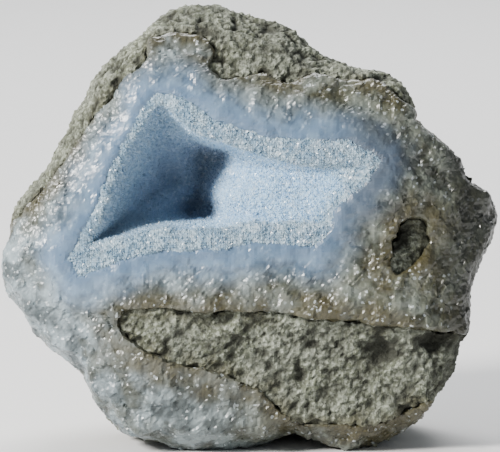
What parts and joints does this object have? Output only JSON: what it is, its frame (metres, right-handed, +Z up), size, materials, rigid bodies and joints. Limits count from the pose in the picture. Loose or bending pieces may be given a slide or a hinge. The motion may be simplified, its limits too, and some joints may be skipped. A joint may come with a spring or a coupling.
{
  "type": "quartz geode specimen",
  "caption": "Broken geode standing on a flat foot: rough volcanic rock round a wall of milky quartz and blue chalcedony, with an open hollow lined by a crust of small quartz crystals.",
  "frame": {"origin": "on the floor, under the middle of the specimen's box", "axes": "+Z up from the foot, the broken face with the hollow looks along -Y, +X to its right as seen"},
  "size_m": [0.12, 0.0756, 0.1068],
  "materials": {
    "host_rock": "rough weathered rock",
    "quartz": "broken milky quartz, glassy grains",
    "druse": "sparkling small crystals"
  },
  "bodies": {
    "root": {"host_rock": "host_rock", "quartz_wall": "quartz", "druse_crust": "druse"}
  },
  "joints": []
}
